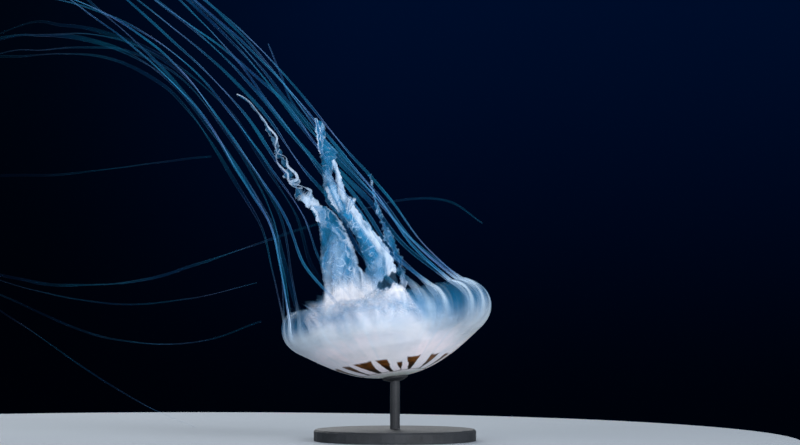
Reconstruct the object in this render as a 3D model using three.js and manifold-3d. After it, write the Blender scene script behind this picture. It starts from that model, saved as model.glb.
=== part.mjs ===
// A swimming sea nettle (genus Chrysaora), crown down and tentacles streaming, on a display stand.
// Millimetres, +Z up, the front towards -Y. The origin is the centre of the stand's underside,
// straight below the crown of the bell.

import * as THREE from 'three';
import { mergeVertices } from 'three/addons/utils/BufferGeometryUtils.js';
import Module from 'manifold-3d';

const GAP = 0.3; // between pieces that touch

// Bell
const CROWN_Z = 45.4; // height of the crown above the floor
const SIDE_TILT = 8; // degrees, the mouth leaning to -X
const BACK_TILT = 6; // degrees, the mouth leaning to +Y
const CROWN_WALL = 10;
const RIM_WALL = 2;
const RIM_HEIGHT = 61; // above the crown
const CURL_START = 43; // height above the crown where the rim begins to curl in
const LEFT_OPENING = 5; // how much wider the rim stands on the -X side than on the +X side
const SIDE_DROP = 3.5; // half of how much lower the rim is on the -X side than on the +X side
const FRONT_DROP = 4.5; // half of how much lower the rim is at the front than at the back
const BELL_SEGMENTS = 40;
const BELL_OUTER_STEPS = 12;
const BELL_INNER_STEPS = 7;

// Lappets round the rim: four to an octant, with three tentacles and one sense organ in the clefts
const LAPPETS = 32;
const LAPPET_LENGTH = 6.2;
const CLEFT_LENGTH = 2.5;
const STEPS_PER_LAPPET = 3;

// Stomach with its four pouches
const STOMACH_RADIUS = 49;
const STOMACH_TOP = 55.6;
const POUCHES = 4;
const STOMACH_SEGMENTS = 24;

// Tentacles
const TENTACLES_PER_OCTANT = 3;
const OCTANTS = 8;
const ROOT_RADIUS = 1.5;
const TIP_RADIUS = 0.45;
const TENTACLE_SIDES = 5;
const TENTACLE_STEP = 26; // at most, along a tentacle's length
const FREE_STEP = 28; // spacing of the route's points past the waist
const WOBBLE = 3.2;

// Stand
const BASE_RADIUS = 58;
const BASE_HEIGHT = 8;
const BASE_BEVEL = 1.2;
const ROD_RADIUS = 3.5;
const PAD_RADIUS = 9;
const PAD_HEIGHT = 3;

const COLOURS = {
  bell_jelly: { color: 0xc9d6e6, roughness: 0.3, metalness: 0 },
  rim_jelly: { color: 0xa9c6dc, roughness: 0.3, metalness: 0 },
  stomach_milk: { color: 0xe6e9ee, roughness: 0.4, metalness: 0 },
  arm_frill: { color: 0xb7cfe0, roughness: 0.35, metalness: 0 },
  tentacle_jelly: { color: 0x6fa0c0, roughness: 0.35, metalness: 0 },
  stand_paint: { color: 0x1c1f24, roughness: 0.45, metalness: 0.2 },
};

const turn = (degrees) => THREE.MathUtils.degToRad(degrees);
const flat = (x, y) => new THREE.Vector2(x, y);
const point = (x, y, z) => new THREE.Vector3(x, y, z);
const { lerp, smoothstep } = THREE.MathUtils;

const group = new THREE.Group();

function place(name, finish, geometry) {
  const mesh = new THREE.Mesh(geometry, new THREE.MeshStandardMaterial(COLOURS[finish]));
  mesh.name = name;
  group.add(mesh);
}

// The same number between 0 and 1 each time for a pair of whole numbers.
function scatter(index, kind) {
  const wave = Math.sin(index * 12.9898 + kind * 78.233) * 43758.5453;
  return wave - Math.floor(wave);
}

function enclosedVolume(geometry) {
  const corners = geometry.getAttribute('position');
  const order = geometry.getIndex().array;
  const [a, b, c] = [point(0, 0, 0), point(0, 0, 0), point(0, 0, 0)];
  let volume = 0;
  for (let i = 0; i < order.length; i += 3) {
    a.fromBufferAttribute(corners, order[i]);
    b.fromBufferAttribute(corners, order[i + 1]);
    c.fromBufferAttribute(corners, order[i + 2]);
    volume += a.dot(b.cross(c)) / 6;
  }
  return volume;
}

// A closed skin over a row of rings. A ring of one point is a pole, an open end gets a flat cap,
// and wrap joins the last ring to the first.
function loft(rings, wrap = false) {
  const positions = [];
  const starts = [];
  for (const ring of rings) {
    starts.push(positions.length / 3);
    ring.forEach((p) => positions.push(p.x, p.y, p.z));
  }
  const triangles = [];
  const join = (a, b) => {
    const sides = Math.max(rings[a].length, rings[b].length);
    for (let i = 0; i < sides; i += 1) {
      const next = (i + 1) % sides;
      const corner = (ring, side) => starts[ring] + (rings[ring].length > 1 ? side : 0);
      if (rings[a].length > 1) triangles.push(corner(a, i), corner(a, next), corner(b, i));
      if (rings[b].length > 1) triangles.push(corner(a, next), corner(b, next), corner(b, i));
    }
  };
  const cap = (ring, forwards) => {
    const sides = rings[ring].length;
    const start = starts[ring];
    for (let i = 1; i < sides - 1; i += 1) {
      const [p, q] = forwards ? [i, i + 1] : [i + 1, i];
      triangles.push(start, start + p, start + q);
    }
  };
  for (let i = 0; i + 1 < rings.length; i += 1) join(i, i + 1);
  if (wrap) {
    join(rings.length - 1, 0);
  } else {
    if (rings[0].length > 1) cap(0, false);
    if (rings.at(-1).length > 1) cap(rings.length - 1, true);
  }
  const geometry = new THREE.BufferGeometry();
  geometry.setAttribute('position', new THREE.Float32BufferAttribute(positions, 3));
  geometry.setIndex(triangles);
  if (enclosedVolume(geometry) < 0) geometry.setIndex(triangles.reverse());
  geometry.computeVertexNormals();
  return geometry;
}

// ---------------------------------------------------------------------------
// Bell. Its own frame has the crown at the origin and the mouth along +Z.

const CROWN_OUTLINE = new THREE.CubicBezierCurve(flat(0, 0), flat(30, 0), flat(46, 12.8), flat(66, 27));
const SHOULDER_OUTLINE = new THREE.CubicBezierCurve(flat(66, 27), flat(78, 35.5), flat(79, 52), flat(65, RIM_HEIGHT));

const bellPose = new THREE.Matrix4()
  .makeRotationFromEuler(new THREE.Euler(turn(-BACK_TILT), turn(-SIDE_TILT), 0))
  .setPosition(0, 0, CROWN_Z);

// Radius and height on the bell wall: along runs from 0 at the crown to 1 at the rim,
// and depth is measured inwards from the outer face.
function wallPoint(along, depth) {
  const curve = along < 0.5 ? CROWN_OUTLINE : SHOULDER_OUTLINE;
  const part = along < 0.5 ? along * 2 : along * 2 - 1;
  const on = curve.getPoint(part);
  const tangent = curve.getTangent(part);
  return flat(on.x - tangent.y * depth, on.y + tangent.x * depth);
}

const wallThickness = (along) => RIM_WALL + (CROWN_WALL - RIM_WALL) * (1 - along) ** 1.6;

// Turns a radius and height into a point in space. The rim stands wider on the -X side, and lower
// there and at the front.
function aroundBell(azimuth, radius, height) {
  const opened = Math.max(0, (height - CURL_START) / (RIM_HEIGHT - CURL_START)) ** 2;
  const wide = radius + (LEFT_OPENING * opened * (1 - Math.cos(azimuth))) / 2;
  const drop = SIDE_DROP * (1 - Math.cos(azimuth)) - FRONT_DROP * Math.sin(azimuth);
  const lowered = height - drop * (height / RIM_HEIGHT) ** 2;
  return point(wide * Math.cos(azimuth), wide * Math.sin(azimuth), lowered).applyMatrix4(bellPose);
}

function ringAround(radius, height, segments) {
  const ring = [];
  for (let i = 0; i < segments; i += 1) {
    ring.push(aroundBell((i / segments) * Math.PI * 2, radius(i), height(i)));
  }
  return ring;
}

function evenRing(profilePoint, segments) {
  return ringAround(() => profilePoint.x, () => profilePoint.y, segments);
}

function makeBell() {
  const rings = [[aroundBell(0, 0, 0)]];
  for (let i = 1; i <= BELL_OUTER_STEPS; i += 1) {
    rings.push(evenRing(wallPoint(i / BELL_OUTER_STEPS, 0), BELL_SEGMENTS));
  }
  for (let i = BELL_INNER_STEPS; i >= 1; i -= 1) {
    const along = i / BELL_INNER_STEPS;
    rings.push(evenRing(wallPoint(along, wallThickness(along)), BELL_SEGMENTS));
  }
  rings.push([aroundBell(0, 0, CROWN_WALL)]);
  place('bell', 'bell_jelly', loft(rings));
}

// A point past the rim, in line with the wall there.
function pastRim(azimuth, length, depth) {
  const tangent = SHOULDER_OUTLINE.getTangent(1);
  const start = wallPoint(1, depth);
  return aroundBell(azimuth, start.x + tangent.x * length, start.y + tangent.y * length);
}

function makeLappets() {
  const steps = LAPPETS * STEPS_PER_LAPPET;
  const sections = [];
  for (let i = 0; i < steps; i += 1) {
    const azimuth = (i / steps) * Math.PI * 2;
    const reach = i % STEPS_PER_LAPPET === 0 ? CLEFT_LENGTH : LAPPET_LENGTH;
    sections.push([
      pastRim(azimuth, GAP * 2, 0),
      pastRim(azimuth, reach, 0.3),
      pastRim(azimuth, reach, RIM_WALL - 0.3),
      pastRim(azimuth, GAP * 2, RIM_WALL),
    ]);
  }
  place('bell_margin', 'rim_jelly', loft(sections, true));
}

// ---------------------------------------------------------------------------
// Stomach: a soft mass on the inner wall, swollen into four pouches under the mouth.

function stomachRing(radius, height, swell) {
  const lobe = (i) => 1 + swell * Math.cos((i / STOMACH_SEGMENTS) * Math.PI * 2 * POUCHES);
  return ringAround((i) => radius * lobe(i), (i) => height * (1 + (lobe(i) - 1) / 3), STOMACH_SEGMENTS);
}

function makeStomach() {
  const rings = [[aroundBell(0, 0, CROWN_WALL + GAP * 3)]];
  const floorSteps = 3;
  const reach = 0.36; // how far along the wall the stomach is attached
  for (let i = 1; i <= floorSteps; i += 1) {
    const along = (reach * i) / floorSteps;
    rings.push(evenRing(wallPoint(along, wallThickness(along) + GAP * 3), STOMACH_SEGMENTS));
  }
  rings.push(stomachRing(STOMACH_RADIUS, 32, 0.04));
  rings.push(stomachRing(STOMACH_RADIUS * 0.97, 42, 0.07));
  rings.push(stomachRing(STOMACH_RADIUS * 0.82, 49, 0.1));
  rings.push(stomachRing(STOMACH_RADIUS * 0.52, 53.4, 0.1));
  rings.push(stomachRing(STOMACH_RADIUS * 0.22, STOMACH_TOP, 0));
  rings.push([aroundBell(0, 0, STOMACH_TOP)]);
  place('stomach', 'stomach_milk', loft(rings));
}

// ---------------------------------------------------------------------------
// Mouth arms: frilled ribbons that rise from the mouth and end in loose curls.

const ARMS = [
  {
    name: 'mouth_arm_left',
    route: [[-30, 0, 100], [-40, -2, 122], [-42, -2, 146], [-50, -1, 167], [-60, 0, 174], [-70, 0, 182],
      [-76.5, 0, 193], [-83, 0, 206], [-89.5, 0, 221.5], [-98.5, 0, 236], [-113, 0, 247]],
    widths: [19, 22, 23, 17, 10.5, 8, 5.5, 3, 2],
    facing: 12,
    turns: 7,
    turnFrom: 0.45,
    lengths: 2,
  },
  {
    name: 'mouth_arm_front',
    route: [[-2, -8, 101.5], [-5, -9, 116], [-4, -10, 127], [-8, -11, 138], [-20, -13, 150], [-29, -15, 162],
      [-38, -17, 177], [-44, -17.5, 191], [-46, -17.5, 200]],
    widths: [15, 16, 16, 15, 13, 10, 4],
    facing: -20,
    turns: 1,
    turnFrom: 0.5,
    lengths: 2,
  },
  {
    name: 'mouth_arm_back',
    route: [[-15, 15, 100], [-22, 12, 121], [-29, 11, 140], [-36, 12, 159], [-44, 15, 174], [-49, 19, 189],
      [-53, 24, 205], [-55, 28, 218], [-56, 30, 229]],
    widths: [18, 21, 20, 15, 10, 9, 8, 3],
    facing: 20,
    turns: 1.5,
    turnFrom: 0.4,
    lengths: 2,
  },
  {
    name: 'mouth_arm_right',
    route: [[8, 2, 102.5], [5, 1, 120], [-1, 1, 138], [-8, 1, 153], [-13, 1, 168], [-16.5, 1, 180], [-18, 1, 190]],
    widths: [10, 10, 9, 7, 5, 3],
    facing: 40,
    turns: 1,
    turnFrom: 0.3,
    lengths: 1,
  },
];
const ARM_THICKNESS = 2.4;
const ARM_EDGE = 0.8;
const FRILL_HEIGHT = 2.6;
const FRILL_LENGTH = 15;
const ARM_STEPS = 18; // per length

function along(values, part) {
  const at = part * (values.length - 1);
  const low = Math.min(Math.floor(at), values.length - 2);
  return lerp(values[low], values[low + 1], at - low);
}

// One cross-section of a ribbon: thick along the middle, thin and waved at both edges.
function ribbonSection(arm, curve, length, part) {
  const centre = curve.getPointAt(part);
  const tangent = curve.getTangentAt(part);
  const twist = turn(arm.facing) + Math.max(0, part - arm.turnFrom) * arm.turns * Math.PI * 2;
  const level = point(0, 1, 0).cross(tangent).normalize();
  const side = level.applyAxisAngle(tangent, twist);
  const front = tangent.clone().cross(side);
  const half = along(arm.widths, part) / 2;
  const wave = (part * length * Math.PI * 2) / FRILL_LENGTH;
  const lift = FRILL_HEIGHT * Math.min(1, half / 8);
  const at = (across, out) => centre.clone().addScaledVector(side, across * half).addScaledVector(front, out);
  const leftLift = lift * Math.sin(wave);
  const rightLift = lift * Math.sin(wave * 1.13 + 2);
  const middle = ARM_THICKNESS / 2;
  return [
    at(-1, leftLift - ARM_EDGE / 2),
    at(-0.35, -middle),
    at(0.35, -middle),
    at(1, rightLift - ARM_EDGE / 2),
    at(1, rightLift + ARM_EDGE / 2),
    at(0.35, middle),
    at(-0.35, middle),
    at(-1, leftLift + ARM_EDGE / 2),
  ];
}

function makeArm(arm) {
  const curve = new THREE.CatmullRomCurve3(arm.route.map((p) => point(...p)));
  const length = curve.getLength();
  const names = arm.lengths === 2 ? ['base', 'curl'] : ['whole'];
  const share = 1 / arm.lengths;
  names.forEach((name, index) => {
    const from = index * share + (index > 0 ? GAP / length : 0);
    const to = (index + 1) * share;
    const sections = [];
    for (let i = 0; i <= ARM_STEPS; i += 1) {
      sections.push(ribbonSection(arm, curve, length, lerp(from, to, i / ARM_STEPS)));
    }
    place(`${arm.name}_${name}`, 'arm_frill', loft(sections));
  });
}

// ---------------------------------------------------------------------------
// Tentacles. They stand round the rim, draw together over the mouth into one slanting stream,
// and fan out again. Each station gives the middle of the stream, the offset to its right-hand
// edge, and half its depth from front to back.

const STREAM = [
  { middle: [-34, 132], edge: [54, 11], depth: 51 },
  { middle: [-50.5, 164.5], edge: [46, 11], depth: 44 },
  { middle: [-74.5, 197.5], edge: [43, 10], depth: 40 },
  { middle: [-100, 232.5], edge: [41, 7], depth: 38 },
  { middle: [-122, 259], edge: [39, 9], depth: 38 },
];
const LANES = [1, 0.86, 0.7]; // how near to the stream's edge the three of an octant run

// Long tentacles drift out to -X, turn, and trail back low. bend is how fast they turn from the
// stream, in degrees a step, and route runs from the turn to the tip.
const TRAILING = {
  8: {
    bend: 9,
    route: [[-332, 40, 270], [-360, 46, 250], [-366, 52, 222], [-348, 58, 199], [-316, 62, 190],
      [-282, 63, 190], [-246, 63, 190.5], [-205, 63, 195], [-168, 64, 200], [-134, 66, 204]],
  },
  9: {
    bend: 12,
    route: [[-352, 30, 268], [-384, 44, 228], [-378, 56, 178], [-335, 62, 134], [-268, 66, 113],
      [-225, 68, 110], [-182, 70, 114], [-139, 72, 127], [-89, 74, 144], [-40, 74, 160], [4, 74, 172],
      [39, 74, 171], [64, 74, 155]],
  },
  11: {
    bend: 16,
    route: [[-346, 12, 254], [-372, 20, 212], [-362, 26, 168], [-326, 30, 132], [-282, 32, 113],
      [-239, 34, 102], [-196, 34, 96.5], [-146, 36, 101], [-100, 38, 112]],
  },
  12: {
    bend: 15,
    route: [[-348, -14, 257], [-378, -22, 212], [-366, -28, 160], [-328, -32, 124], [-282, -34, 106],
      [-246, -36, 90], [-210, -38, 76], [-168, -40, 70], [-132, -42, 73], [-94, -44, 86]],
  },
  14: {
    bend: 14,
    route: [[-344, -34, 262], [-382, -46, 222], [-386, -56, 172], [-346, -62, 130], [-300, -64, 108],
      [-260, -66, 84], [-218, -68, 55], [-176, -68, 29], [-140, -68, 13]],
  },
};
const LEFTWARD = [7, 15]; // these bend away like the long ones and end past the turn
const SHORT = [16, 17, 18, 19]; // drawn in, they end over the mouth
const STEEP = 1; // this one leaves the stream and ends
const STEEP_END = [[-70, 15, 236], [-83, 17, 264], [-91, 18, 284]];

const azimuthOf = (index) => {
  const octant = Math.floor(index / TENTACLES_PER_OCTANT);
  const cleft = (index % TENTACLES_PER_OCTANT) + 1;
  return ((octant + cleft / (TENTACLES_PER_OCTANT + 1)) / OCTANTS) * Math.PI * 2;
};

// Where a tentacle's route crosses one station of the stream.
function streamPoint(index, station) {
  const { middle, edge, depth } = STREAM[station];
  const azimuth = azimuthOf(index);
  const gathered = Math.min(1, (station + 1) / 3);
  const out = lerp(1, LANES[index % LANES.length], gathered);
  const sway = (kind) => WOBBLE * gathered * (scatter(index, station + kind) - 0.5);
  return point(
    middle[0] + edge[0] * Math.cos(azimuth) * out + sway(0),
    depth * Math.sin(azimuth) * out + sway(10),
    middle[1] + edge[1] * Math.cos(azimuth) * out + sway(20),
  );
}

// Goes on from the end of a route in even steps, turning a little at each towards its aim.
function drift(points, index, { aim, bend, count }) {
  const last = points.at(-1);
  const before = points.at(-2);
  const at = last.clone();
  const aside = (scatter(index, 45) - 0.5) * 7 + Math.sin(azimuthOf(index)) * 3;
  let heading = Math.atan2(last.z - before.z, last.x - before.x);
  for (let i = 0; i < count; i += 1) {
    heading += THREE.MathUtils.clamp(turn(aim) - heading, -turn(bend), turn(bend));
    at.x += FREE_STEP * Math.cos(heading);
    at.y += aside * smoothstep(i, 0, 3);
    at.z += FREE_STEP * Math.sin(heading);
    points.push(at.clone());
  }
}

// The points of one tentacle's route, from its cleft to its tip.
function tentacleRoute(index) {
  const azimuth = azimuthOf(index);
  const rootAt = LAPPET_LENGTH - 1.6;
  const points = [pastRim(azimuth, rootAt, RIM_WALL / 2), pastRim(azimuth, rootAt + 7, RIM_WALL / 2)];
  const append = (list) => list.forEach((p) => points.push(point(...p)));
  if (SHORT.includes(index)) {
    points.push(streamPoint(index, 0));
    return points;
  }
  const stations = index === STEEP ? 3 : STREAM.length;
  for (let station = 0; station < stations; station += 1) points.push(streamPoint(index, station));
  if (index === STEEP) {
    append(STEEP_END);
  } else if (TRAILING[index]) {
    drift(points, index, { aim: 184, bend: TRAILING[index].bend, count: 5 });
    append(TRAILING[index].route);
  } else if (LEFTWARD.includes(index)) {
    drift(points, index, { aim: 178, bend: 8, count: 8 });
  } else {
    const aim = 134 + 11 * scatter(index, 32);
    drift(points, index, { aim, bend: 4, count: 4 + Math.floor(scatter(index, 32) * 3.99) });
  }
  return points;
}

function tentacleLengths(index) {
  if (TRAILING[index]) return ['root', 'middle', 'tip'];
  return SHORT.includes(index) || index === STEEP ? ['whole'] : ['root', 'tip'];
}

function makeTentacle(index) {
  const route = tentacleRoute(index);
  const curve = new THREE.CatmullRomCurve3(route, false, 'catmullrom', 0.5);
  const total = curve.getLength();
  const names = tentacleLengths(index);
  const stepsPerLength = Math.ceil(total / names.length / TENTACLE_STEP);
  const steps = stepsPerLength * names.length;
  const frames = curve.computeFrenetFrames(steps, false);
  const ringAt = (step, nudge) => {
    const part = Math.min(1, step / steps + nudge / total);
    const centre = curve.getPointAt(part);
    const radius = lerp(ROOT_RADIUS, TIP_RADIUS, part ** 0.7);
    const ring = [];
    for (let side = 0; side < TENTACLE_SIDES; side += 1) {
      const angle = (side / TENTACLE_SIDES) * Math.PI * 2;
      ring.push(centre.clone()
        .addScaledVector(frames.normals[step], radius * Math.cos(angle))
        .addScaledVector(frames.binormals[step], radius * Math.sin(angle)));
    }
    return ring;
  };
  names.forEach((name, length) => {
    const first = length * stepsPerLength;
    const rings = [ringAt(first, length > 0 ? GAP : 0)];
    for (let i = 1; i <= stepsPerLength; i += 1) rings.push(ringAt(first + i, 0));
    const number = String(index + 1).padStart(2, '0');
    place(`tentacle_${number}_${name}`, 'tentacle_jelly', loft(rings));
  });
}

// ---------------------------------------------------------------------------
// Stand: a heavy round base and one rod with a tilted pad under the crown.

const wasm = await Module();
wasm.setup();

function asSolid(geometry) {
  const bare = new THREE.BufferGeometry();
  bare.setAttribute('position', geometry.getAttribute('position'));
  if (geometry.getIndex()) bare.setIndex(geometry.getIndex());
  const merged = mergeVertices(bare, 1e-4);
  return new wasm.Manifold(new wasm.Mesh({
    numProp: 3,
    vertProperties: new Float32Array(merged.getAttribute('position').array),
    triVerts: new Uint32Array(merged.getIndex().array),
  }));
}

function asGeometry(solid) {
  const mesh = solid.getMesh();
  const geometry = new THREE.BufferGeometry();
  geometry.setAttribute('position', new THREE.Float32BufferAttribute(mesh.vertProperties, 3));
  geometry.setIndex(Array.from(mesh.triVerts));
  geometry.computeVertexNormals();
  return geometry;
}

function makeBase() {
  const outline = [
    flat(0, 0),
    flat(BASE_RADIUS, 0),
    flat(BASE_RADIUS, BASE_HEIGHT - BASE_BEVEL),
    flat(BASE_RADIUS - BASE_BEVEL, BASE_HEIGHT),
    flat(0, BASE_HEIGHT),
  ];
  const base = new THREE.LatheGeometry(outline, 40).rotateX(Math.PI / 2);
  place('stand_base', 'stand_paint', base);
}

function makeRod() {
  const bottom = BASE_HEIGHT + GAP;
  const top = CROWN_Z - PAD_HEIGHT * 0.6;
  const rod = new THREE.CylinderGeometry(ROD_RADIUS, ROD_RADIUS, top - bottom, 16)
    .rotateX(Math.PI / 2)
    .translate(0, 0, (top + bottom) / 2);
  const dish = PAD_RADIUS ** 2 / 161; // the crown rises this much at the pad's edge
  const pad = new THREE.LatheGeometry([
    flat(0, -PAD_HEIGHT),
    flat(PAD_RADIUS * 0.55, -PAD_HEIGHT),
    flat(PAD_RADIUS, -GAP - 0.9),
    flat(PAD_RADIUS, dish - GAP - 0.2),
    flat(PAD_RADIUS / 2, dish / 4 - GAP - 0.2),
    flat(0, -GAP - 0.1),
  ], 20).rotateX(Math.PI / 2).applyMatrix4(bellPose);
  place('stand_rod', 'stand_paint', asGeometry(asSolid(rod).add(asSolid(pad))));
}

makeBase();
makeRod();
makeBell();
makeLappets();
makeStomach();
ARMS.forEach(makeArm);
for (let i = 0; i < OCTANTS * TENTACLES_PER_OCTANT; i += 1) makeTentacle(i);

export default group;
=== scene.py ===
import math

import bpy
import numpy as np
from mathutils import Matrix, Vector


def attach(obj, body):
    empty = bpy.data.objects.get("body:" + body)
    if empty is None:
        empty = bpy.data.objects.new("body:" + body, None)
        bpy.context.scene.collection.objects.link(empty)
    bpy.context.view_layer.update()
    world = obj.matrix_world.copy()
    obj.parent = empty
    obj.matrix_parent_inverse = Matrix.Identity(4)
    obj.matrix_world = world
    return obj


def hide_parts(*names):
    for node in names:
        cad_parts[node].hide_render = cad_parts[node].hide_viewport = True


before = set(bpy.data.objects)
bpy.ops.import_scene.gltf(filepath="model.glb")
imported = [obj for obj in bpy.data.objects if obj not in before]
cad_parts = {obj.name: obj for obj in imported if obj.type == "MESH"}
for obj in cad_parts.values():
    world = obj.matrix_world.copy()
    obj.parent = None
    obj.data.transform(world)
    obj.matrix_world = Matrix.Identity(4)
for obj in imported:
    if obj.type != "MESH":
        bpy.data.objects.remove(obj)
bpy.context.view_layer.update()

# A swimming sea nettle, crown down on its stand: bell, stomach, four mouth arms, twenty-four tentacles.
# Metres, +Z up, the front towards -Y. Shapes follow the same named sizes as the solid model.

MM = 0.001

# Bell, millimetres in its own frame: crown at the origin, mouth along +Z
CROWN_Z = 45.4
SIDE_TILT = 8
BACK_TILT = 6
CROWN_WALL = 10
RIM_WALL = 2
RIM_HEIGHT = 61
CURL_START = 43
LEFT_OPENING = 5
SIDE_DROP = 3.5
FRONT_DROP = 4.5
AXIS_REACH = 9  # radius within which the rim's uneven height and width fade out, so that poles close
LAPPETS = 32
LAPPET_LENGTH = 6.2
CLEFT_LENGTH = 2.5

# Tentacles
OCTANTS = 8
PER_OCTANT = 3
TENTACLES = OCTANTS * PER_OCTANT
FREE_STEP = 28
WOBBLE = 3.2

TURN = 2 * math.pi


# ---------------------------------------------------------------------------
# Small helpers

def srgb(red, green, blue):
    """A given colour, as the linear values that shaders take."""
    return [c / 12.92 if c <= 0.04045 else ((c + 0.055) / 1.055) ** 2.4 for c in (red, green, blue)]


def blend(low, high, part):
    return low + (high - low) * part


def smooth(low, high, value):
    part = np.clip((value - low) / (high - low), 0, 1)
    return part * part * (3 - 2 * part)


def unit(vectors):
    return vectors / np.linalg.norm(vectors, axis=-1, keepdims=True)


def scatter(index, kind):
    """The same number between 0 and 1 each time for a pair of whole numbers."""
    wave = np.sin(index * 12.9898 + kind * 78.233) * 43758.5453
    return wave - np.floor(wave)


# ---------------------------------------------------------------------------
# Curves

def bezier(corners, part):
    a, b, c, d = (np.array(corner, float) for corner in corners)
    t = np.asarray(part, float)[..., None]
    on = (1 - t) ** 3 * a + 3 * (1 - t) ** 2 * t * b + 3 * (1 - t) * t ** 2 * c + t ** 3 * d
    slope = 3 * (1 - t) ** 2 * (b - a) + 6 * (1 - t) * t * (c - b) + 3 * t ** 2 * (d - c)
    return on, unit(slope)


def through(points, samples=40, even=True):
    """A Catmull-Rom curve through the points; even keeps its own speed, otherwise it is centripetal."""
    p = np.array(points, float)
    p = np.vstack([2 * p[0] - p[1], p, 2 * p[-1] - p[-2]])
    t = np.linspace(0, 1, samples, endpoint=False)[:, None]
    stretches = []
    for x0, x1, x2, x3 in zip(p, p[1:], p[2:], p[3:]):
        if even:
            m1, m2 = (x2 - x0) / 2, (x3 - x1) / 2
        else:
            spans = ((x0, x1), (x1, x2), (x2, x3))
            d0, d1, d2 = (max(np.linalg.norm(b - a) ** 0.5, 1e-4) for a, b in spans)
            m1 = ((x1 - x0) / d0 - (x2 - x0) / (d0 + d1) + (x2 - x1) / d1) * d1
            m2 = ((x2 - x1) / d1 - (x3 - x1) / (d1 + d2) + (x3 - x2) / d2) * d1
        square = 3 * (x2 - x1) - 2 * m1 - m2
        cube = 2 * (x1 - x2) + m1 + m2
        stretches.append(x1 + m1 * t + square * t ** 2 + cube * t ** 3)
    return np.vstack(stretches + [p[-2:-1]])


class Line:
    """A curve that is read by its length in millimetres."""

    def __init__(self, points):
        self.points = np.asarray(points, float)
        self.at = np.concatenate([[0], np.cumsum(np.linalg.norm(np.diff(self.points, axis=0), axis=1))])
        self.length = self.at[-1]

    def point(self, distance):
        return np.stack([np.interp(distance, self.at, self.points[:, k]) for k in range(3)], axis=-1)

    def tangent(self, distance, reach=0.6):
        low = np.clip(distance - reach, 0, self.length)
        high = np.clip(distance + reach, 0, self.length)
        return unit(self.point(high) - self.point(low))


def carried_sides(tangents, first):
    """Sideways directions carried along a curve without twisting."""
    sides = np.empty_like(tangents)
    side = first
    for i, tangent in enumerate(tangents):
        side = side - tangent * np.dot(side, tangent)
        side = side / np.linalg.norm(side)
        sides[i] = side
    return sides


def turned(sides, axes, angles):
    """Directions turned about axes that they stand square to."""
    return sides * np.cos(angles)[:, None] + np.cross(axes, sides) * np.sin(angles)[:, None]


# ---------------------------------------------------------------------------
# Meshes

def only(piece):
    bpy.ops.object.select_all(action="DESELECT")
    piece.select_set(True)
    bpy.context.view_layer.objects.active = piece


def shaped_grid(name, rows, columns, place, tube=False, caps=False):
    """A grid primitive, its points put at place(along, across) in millimetres.

    along and across run from 0 to 1. place also returns named values, kept as attributes. A tube has
    its two long edges sewn together, and caps closes its two ends.
    """
    bpy.ops.object.select_all(action="DESELECT")
    bpy.ops.mesh.primitive_grid_add(x_subdivisions=rows, y_subdivisions=columns, size=1)
    piece = bpy.context.object
    piece.name = name
    mesh = piece.data
    mesh.name = name
    flat = np.empty(len(mesh.vertices) * 3)
    mesh.vertices.foreach_get("co", flat)
    flat = flat.reshape(-1, 3)
    points, values = place(flat[:, 0] + 0.5, flat[:, 1] + 0.5)
    mesh.vertices.foreach_set("co", (points * MM).ravel())
    thick = values.pop("thick", None)
    for label, numbers in values.items():
        mesh.attributes.new(label, "FLOAT", "POINT").data.foreach_set("value", numbers.astype(np.float32))
    if thick is not None:
        levels = np.round(thick * 10).astype(int)
        group = piece.vertex_groups.new(name="thick")
        for level in range(1, 11):
            group.add(np.flatnonzero(levels == level).tolist(), level / 10, "REPLACE")
    bpy.ops.object.mode_set(mode="EDIT")
    bpy.ops.mesh.select_all(action="SELECT")
    if tube:
        bpy.ops.mesh.remove_doubles(threshold=0.002 * MM)
    if caps:
        bpy.ops.mesh.select_all(action="DESELECT")
        bpy.ops.mesh.select_mode(type="EDGE")
        bpy.ops.mesh.select_non_manifold(extend=False)
        bpy.ops.mesh.fill_holes(sides=0)
        bpy.ops.mesh.select_mode(type="VERT")
    bpy.ops.mesh.select_all(action="SELECT")
    bpy.ops.mesh.normals_make_consistent(inside=False)
    bpy.ops.object.mode_set(mode="OBJECT")
    bpy.ops.object.shade_smooth()
    return piece


def with_modifier(piece, kind, **settings):
    only(piece)
    modifier = piece.modifiers.new(kind.title(), kind)
    for key, value in settings.items():
        setattr(modifier, key, value)
    bpy.ops.object.modifier_apply(modifier=modifier.name)


def finish_piece(piece, material, slot, *nodes):
    piece.data.materials.clear()
    piece.data.materials.append(material)
    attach(piece, "root")
    if nodes:
        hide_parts(*nodes)


# ---------------------------------------------------------------------------
# Material helpers

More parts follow.
